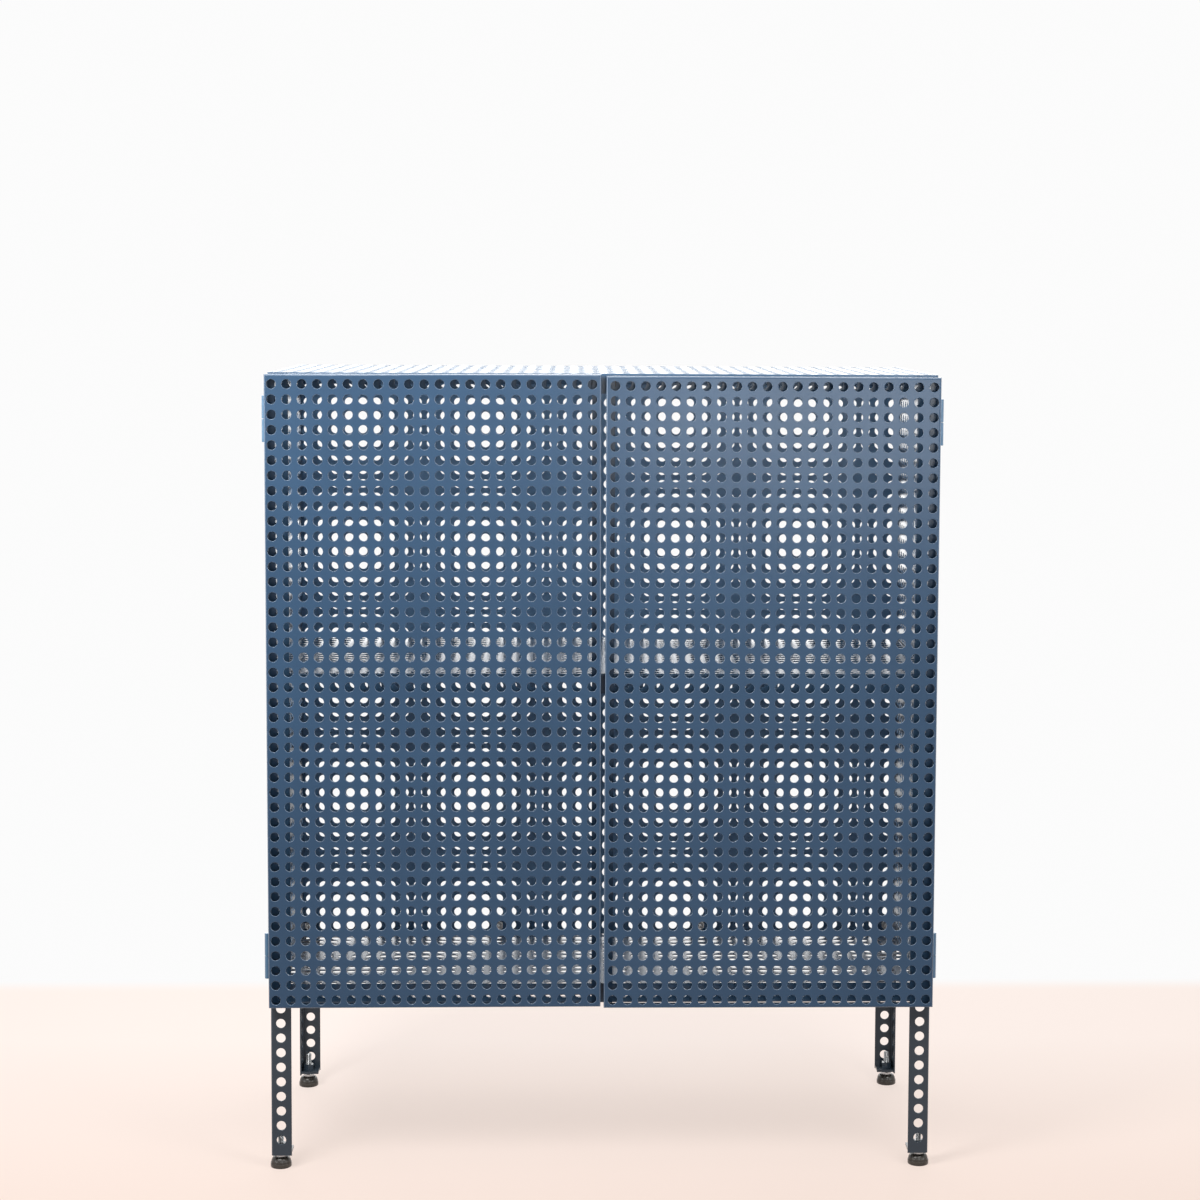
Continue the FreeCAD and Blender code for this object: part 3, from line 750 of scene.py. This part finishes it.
def ranged(nodes, links, value, low, high, start=0.0, end=1.0, smooth=False):
    """Map the values from start to end to a range."""
    node = nodes.new("ShaderNodeMapRange")
    node.interpolation_type = "SMOOTHSTEP" if smooth else "LINEAR"
    node.inputs["From Min"].default_value = start
    node.inputs["From Max"].default_value = end
    node.inputs["To Min"].default_value = low
    node.inputs["To Max"].default_value = high
    links.new(value, node.inputs["Value"])
    return node.outputs["Result"]


def combined(nodes, links, operation, first, second):
    """Result of a math node on two sockets."""
    node = nodes.new("ShaderNodeMath")
    node.operation = operation
    links.new(first, node.inputs[0])
    links.new(second, node.inputs[1])
    return node.outputs["Value"]


def mixed(nodes, links, base, colour, factor, blend="MIX"):
    """Base colour mixed with a fixed one by a factor socket."""
    mix = nodes.new("ShaderNodeMix")
    mix.data_type = "RGBA"
    mix.blend_type = blend
    mix.inputs["B"].default_value = colour
    links.new(base, mix.inputs["A"])
    links.new(factor, mix.inputs["Factor"])
    return mix.outputs["Result"]


def object_place(nodes, links):
    """X, Y and Z of a point in the object's space."""
    place = nodes.new("ShaderNodeTexCoord")
    split = nodes.new("ShaderNodeSeparateXYZ")
    links.new(place.outputs["Object"], split.inputs["Vector"])
    return split.outputs


def worn(nodes, links, base, colour, share, scale):
    """Base colour with its sharp edges turned towards another colour, in fine specks."""
    geometry = nodes.new("ShaderNodeNewGeometry")
    edge = ramp(nodes, links, geometry.outputs["Pointiness"], EDGE_RANGE, BLACK_COLOUR, WHITE_COLOUR)
    specks = ranged(nodes, links, noise(nodes, links, scale, detail=3.0), LEAST_WEAR * share, share)
    return mixed(nodes, links, base, colour, combined(nodes, links, "MULTIPLY", edge, specks))


def grained(nodes, links, shader, scale, strength, distance):
    """Fine bump on a shader."""
    bump = nodes.new("ShaderNodeBump")
    bump.inputs["Strength"].default_value = strength
    bump.inputs["Distance"].default_value = distance
    links.new(noise(nodes, links, scale), bump.inputs["Height"])
    links.new(bump.outputs["Normal"], shader.inputs["Normal"])


def painted_bend_highlight(nodes, links, base, colour, share):
    """Painted highlight: base colour turned towards a paler one, in fine specks, where the surface faces
    along no axis, as on bends and hole rims.
    """
    place = nodes.new("ShaderNodeTexCoord")
    square = nodes.new("ShaderNodeVectorMath")
    square.operation = "MULTIPLY"
    links.new(place.outputs["Normal"], square.inputs[0])
    links.new(place.outputs["Normal"], square.inputs[1])
    split = nodes.new("ShaderNodeSeparateXYZ")
    links.new(square.outputs["Vector"], split.inputs["Vector"])
    largest = combined(nodes, links, "MAXIMUM", split.outputs["X"], split.outputs["Y"])
    largest = combined(nodes, links, "MAXIMUM", largest, split.outputs["Z"])
    # Mask of the painted highlight: full where the normal leans off every axis, as on bends and hole rims
    bend_highlight_mask = ramp(nodes, links, largest, BEND_HIGHLIGHT_RANGE, WHITE_COLOUR, BLACK_COLOUR)
    low, high = (limit * share for limit in BEND_HIGHLIGHT_SPECKS)
    specks = ranged(nodes, links, noise(nodes, links, BEND_HIGHLIGHT_SPECK_SCALE, detail=3.0), low, high)
    return mixed(nodes, links, base, colour, combined(nodes, links, "MULTIPLY", bend_highlight_mask, specks))


def below_body(nodes, links, base, factor):
    """Base colour darkened by a factor on the bare length of a leg, under the body."""
    height = object_place(nodes, links)["Z"]
    bare = ranged(nodes, links, height, 1.0, 0.0, BODY_BOTTOM - LEG_TURN, BODY_BOTTOM)
    return mixed(nodes, links, base, factor, bare, "MULTIPLY")


def powder_coat(name, colours, bend_highlight_share, bare_factor=None):
    """Satin powder coat: fine orange peel, a little cloudiness, and a painted highlight in paler paint on
    bends and sharp rims.
    """
    material, nodes, links = new_material(name)
    shader = nodes["Principled BSDF"]
    # The third colour is the colour of the painted highlight on bends and hole rims
    dark, pale, edge = (linear(code) for code in colours)
    base = ramp(nodes, links, noise(nodes, links, CLOUD_SCALE, detail=3.0), CLOUD_RANGE, dark, pale)
    if bare_factor:
        base = below_body(nodes, links, base, bare_factor)
    links.new(painted_bend_highlight(nodes, links, base, edge, bend_highlight_share), shader.inputs["Base Color"])
    gloss = noise(nodes, links, GLOSS_SCALE, detail=3.0)
    links.new(ranged(nodes, links, gloss, *COAT_ROUGHNESS), shader.inputs["Roughness"])
    for socket, value in COAT.items():
        shader.inputs[socket].default_value = value
    grained(nodes, links, shader, PEEL_SCALE, PEEL_STRENGTH, PEEL_DEPTH)
    return material


def zinc_steel():
    """Zinc-plated steel with a soft mottle and brighter edges."""
    material, nodes, links = new_material("zinc_steel")
    shader = nodes["Principled BSDF"]
    shader.inputs["Metallic"].default_value = 1.0
    dark, pale, edge = (linear(code) for code in ZINC)
    mottle = noise(nodes, links, ZINC_SCALE, detail=4.0)
    base = ramp(nodes, links, mottle, ZINC_RANGE, dark, pale)
    links.new(worn(nodes, links, base, edge, ZINC_WEAR, ZINC_WEAR_SCALE), shader.inputs["Base Color"])
    links.new(ranged(nodes, links, mottle, *ZINC_ROUGHNESS), shader.inputs["Roughness"])
    grained(nodes, links, shader, ZINC_GRAIN_SCALE, ZINC_GRAIN_STRENGTH, GRAIN_DEPTH)
    return material


def black_nylon():
    """Black moulded nylon with a fine grain and slightly rubbed edges."""
    material, nodes, links = new_material("black_nylon")
    shader = nodes["Principled BSDF"]
    dark, pale, edge = (linear(code) for code in NYLON)
    dust = noise(nodes, links, NYLON_SCALE, detail=4.0)
    base = ramp(nodes, links, dust, NYLON_RANGE, dark, pale)
    links.new(worn(nodes, links, base, edge, NYLON_WEAR, NYLON_WEAR_SCALE), shader.inputs["Base Color"])
    links.new(ranged(nodes, links, dust, *NYLON_ROUGHNESS), shader.inputs["Roughness"])
    grained(nodes, links, shader, NYLON_GRAIN_SCALE, NYLON_GRAIN_STRENGTH, GRAIN_DEPTH)
    return material


# The body's coat is a paler copy of the doors' blue, with painted light
by_slot = {"blue_paint": powder_coat("body_coat_painted_light", LIGHTENED_BODY_BLUE, bend_highlight_share=0.1),
           "bare_steel": zinc_steel(), "black_plastic": black_nylon()}
# The doors' bends and hole rims get the strongest painted highlight
door_paint = powder_coat("door_powder_coat", DOOR_BLUE, bend_highlight_share=0.7)
# Paler copy of the blue: painted light on the inside seen through the holes
back_paint_painted_light = powder_coat("back_coat_painted_light", BACK_BLUE_PAINTED_LIGHT, bend_highlight_share=0.1)
# Paler copy of the blue: painted reflection on the hinges
hinge_paint_painted_light = powder_coat("hinge_coat_painted_light", HINGE_BLUE_PAINTED_LIGHT, bend_highlight_share=0.2)
leg_paint = powder_coat("leg_powder_coat", LIGHTENED_BODY_BLUE, bend_highlight_share=0.1, bare_factor=BARE_LEG_FACTOR)
for entry in frame["record"]["subparts"]:
    data = frame["nodes"][entry["node"]].data
    data.materials.clear()
    on_leg = entry["node"].startswith("foot_plate")
    data.materials.append(leg_paint if on_leg else by_slot[entry["material_slot"]])

# Pieces

for side in ("left", "right"):
    door = side + "_door"
    punched("door_sheet_" + side, "door_" + side, door, door_patches("door_" + side, side),
            DOOR_LEAN[side], door_paint)
    punched("side_sheet_" + side, "side_panel_" + side, "cabinet",
            side_panel_patches("side_panel_" + side, side))
    for end in ("front", "rear"):
        place = end + "_" + side
        punched("punched_leg_" + place, "leg_" + place, "cabinet",
                leg_patches("leg_" + place, end, side), material=leg_paint)
        add_piece("threaded_stud_" + place, foot_stud("foot_stud_" + place), "foot_stud_" + place,
                  "foot_" + place, "bare_steel", weighted=1)
        add_piece("moulded_pad_" + place, foot_pad("foot_pad_" + place), "foot_pad_" + place,
                  "foot_" + place, "black_plastic")
    for level in ("upper", "lower"):
        place = level + "_" + side
        add_piece("frame_hinge_" + place, hinge_leaf("hinge_frame_leaf_" + place, False),
                  "hinge_frame_leaf_" + place, "cabinet", "blue_paint", weighted=3,
                  material=hinge_paint_painted_light)
        add_piece("door_hinge_" + place, hinge_leaf("hinge_door_leaf_" + place, True),
                  "hinge_door_leaf_" + place, door, "blue_paint", weighted=3,
                  material=hinge_paint_painted_light)
        add_piece("steel_pin_" + place, hinge_pin("hinge_pin_" + place), "hinge_pin_" + place,
                  "cabinet", "bare_steel")
    add_piece("moulded_catch_" + side, catch_case("catch_case_" + side), "catch_case_" + side,
              "cabinet", "black_plastic", weighted=1)
    add_piece("round_magnet_" + side, catch_magnet("catch_magnet_" + side), "catch_magnet_" + side,
              "cabinet", "bare_steel", weighted=1)
punched("top_sheet", "top_tray", "cabinet", tray_patches("top_tray", True))
punched("shelf_sheet", "shelf_tray", "cabinet", tray_patches("shelf_tray", True))
punched("bottom_sheet", "bottom_tray", "cabinet", tray_patches("bottom_tray", False))
punched("back_sheet", "back_panel", "cabinet", back_panel_patches(), material=back_paint_painted_light)
add_piece("socket_bolts", all_bolts(), "tray_bolts", "cabinet", "bare_steel")
add_piece("chamfered_nuts", all_nuts(), "tray_nuts", "cabinet", "bare_steel")

# Stage: depths are places along Y, and the lift is the floor's own light for the rays that see it

FLOOR_SIZE = 14.0
FLOOR_NEAR, FLOOR_FAR = -0.35, 0.3
WHITE_FROM, WHITE_TO = 0.50, 0.56
FLOOR_OWN = 0.36
LIFT_NEAR, LIFT_FAR = 0.66, 0.77
FLOOR_COLOURS = ("f3dfd4", "f8ebe4")
WHITE = 0.97
WORLD_LIGHT = 0.18


def seen_directly(nodes, links):
    """1 for camera, glossy and transmission rays, 0 for the rays that light the object."""
    path = nodes.new("ShaderNodeLightPath")
    value = path.outputs["Is Camera Ray"]
    for ray in ("Is Glossy Ray", "Is Transmission Ray"):
        value = combined(nodes, links, "MAXIMUM", value, path.outputs[ray])
    return value


def floor_material():
    """Pale floor that keeps its shadows and turns to plain white where the wall would begin."""
    material, nodes, links = new_material("pale_floor")
    output = nodes["Material Output"]
    nodes.remove(nodes["Principled BSDF"])
    seen = seen_directly(nodes, links)
    back = object_place(nodes, links)["Y"]
    depth = ranged(nodes, links, back, 0.0, 1.0, FLOOR_NEAR, FLOOR_FAR)
    colour = ramp(nodes, links, depth, (0.0, 1.0), *(linear(code) for code in FLOOR_COLOURS))
    dimmed = nodes.new("ShaderNodeVectorMath")
    dimmed.operation = "SCALE"
    dimmed.inputs["Scale"].default_value = FLOOR_OWN
    links.new(colour, dimmed.inputs["Vector"])
    matt = nodes.new("ShaderNodeBsdfDiffuse")
    links.new(dimmed.outputs["Vector"], matt.inputs["Color"])
    lift = nodes.new("ShaderNodeEmission")
    links.new(colour, lift.inputs["Color"])
    rise = ranged(nodes, links, depth, LIFT_NEAR, LIFT_FAR)
    links.new(combined(nodes, links, "MULTIPLY", seen, rise), lift.inputs["Strength"])
    near = nodes.new("ShaderNodeAddShader")
    links.new(matt.outputs["BSDF"], near.inputs[0])
    links.new(lift.outputs["Emission"], near.inputs[1])
    white = nodes.new("ShaderNodeEmission")
    white.inputs["Color"].default_value = WHITE_COLOUR
    white.inputs["Strength"].default_value = WHITE
    far = ranged(nodes, links, back, 0.0, 1.0, WHITE_FROM, WHITE_TO, smooth=True)
    mix = nodes.new("ShaderNodeMixShader")
    links.new(combined(nodes, links, "MULTIPLY", far, seen), mix.inputs["Fac"])
    links.new(near.outputs["Shader"], mix.inputs[1])
    links.new(white.outputs["Emission"], mix.inputs[2])
    links.new(mix.outputs["Shader"], output.inputs["Surface"])
    return material


def plane(name, corners, material):
    """One square face with one material."""
    mesh = bpy.data.meshes.new(name)
    mesh.from_pydata(corners, [], [(0, 1, 2, 3)])
    mesh.materials.append(material)
    obj = bpy.data.objects.new(name, mesh)
    bpy.context.scene.collection.objects.link(obj)
    return obj


half = FLOOR_SIZE / 2
plane("floor", [(-half, -half, 0), (half, -half, 0), (half, half, 0), (-half, half, 0)], floor_material())

# Lamps: place, what it points at, width and height in metres, and power in watts

LAMPS = {
    "softbox_left": ((-0.6, -0.75, 1.2), (-0.2, 0, 0.65), (0.5, 0.5), 12.0),
    "softbox_right": ((0.6, -0.85, 1.25), (0.25, 0, 0.7), (0.5, 0.5), 6.0),
    "softbox_front": ((0.5, -2.65, 0.75), (0.15, 0, 0.65), (0.9, 0.5), 9.0),
    "window_left": ((-2.17, -1.4, 0.45), (0, -0.15, 0.5), (1.1, 0.7), 9.0),
    "window_right": ((2.17, -1.4, 0.45), (0, -0.15, 0.5), (1.1, 0.7), 8.0),
    "overhead": ((0, 0.1, 2.4), (0, 0, 0), (2.0, 2.0), 13.0),
    "behind": ((0, 1.8, 0.95), (0, 0, 0.6), (2.4, 1.4), 23.0),
}

for name, (location, target, size, power) in LAMPS.items():
    light = bpy.data.lights.new(name, "AREA")
    light.shape = "RECTANGLE"
    light.size, light.size_y = size
    light.energy = power
    lamp = bpy.data.objects.new(name, light)
    lamp.location = location
    lamp.rotation_euler = (Vector(target) - Vector(location)).to_track_quat("-Z", "Y").to_euler()
    bpy.context.scene.collection.objects.link(lamp)
    lamp.visible_camera = False

world = bpy.data.worlds.new("studio")
bpy.context.scene.world = world
world.use_nodes = True
nodes, links = world.node_tree.nodes, world.node_tree.links
background = nodes["Background"]
background.inputs["Color"].default_value = WHITE_COLOUR
brightness = ranged(nodes, links, seen_directly(nodes, links), WORLD_LIGHT, WHITE)
links.new(brightness, background.inputs["Strength"])

# Camera, fitted to the hole grids of the doors, the legs and the top edge in the photograph
IMAGE = 1200
FOCAL_PIXELS = 2426.6
CENTRE_COLUMN, CENTRE_ROW = 643.15, 474.9
CAMERA_PLACE = (-0.02793, -2.53353, 0.87713)
TILT, YAW, ROLL = 0.07164, -0.02792, 0.00532
SENSOR_WIDTH = 36.0
CLIP_START, CLIP_END = 0.05, 50.0

camera = bpy.data.cameras.new("camera")
camera.sensor_fit = "HORIZONTAL"
camera.sensor_width = SENSOR_WIDTH
camera.lens = FOCAL_PIXELS / IMAGE * SENSOR_WIDTH
camera.shift_x = (IMAGE / 2 - CENTRE_COLUMN) / IMAGE
camera.shift_y = (CENTRE_ROW - IMAGE / 2) / IMAGE
camera.clip_start, camera.clip_end = CLIP_START, CLIP_END
camera_object = bpy.data.objects.new("camera", camera)
turn = (Matrix.Rotation(YAW, 3, "Z") @ Matrix.Rotation(math.pi / 2 - TILT, 3, "X")
        @ Matrix.Rotation(ROLL, 3, "Z"))
camera_object.matrix_world = Matrix.Translation(CAMERA_PLACE) @ turn.to_4x4()
bpy.context.scene.collection.objects.link(camera_object)
bpy.context.scene.camera = camera_object
bpy.context.scene.view_settings.view_transform = "Standard"
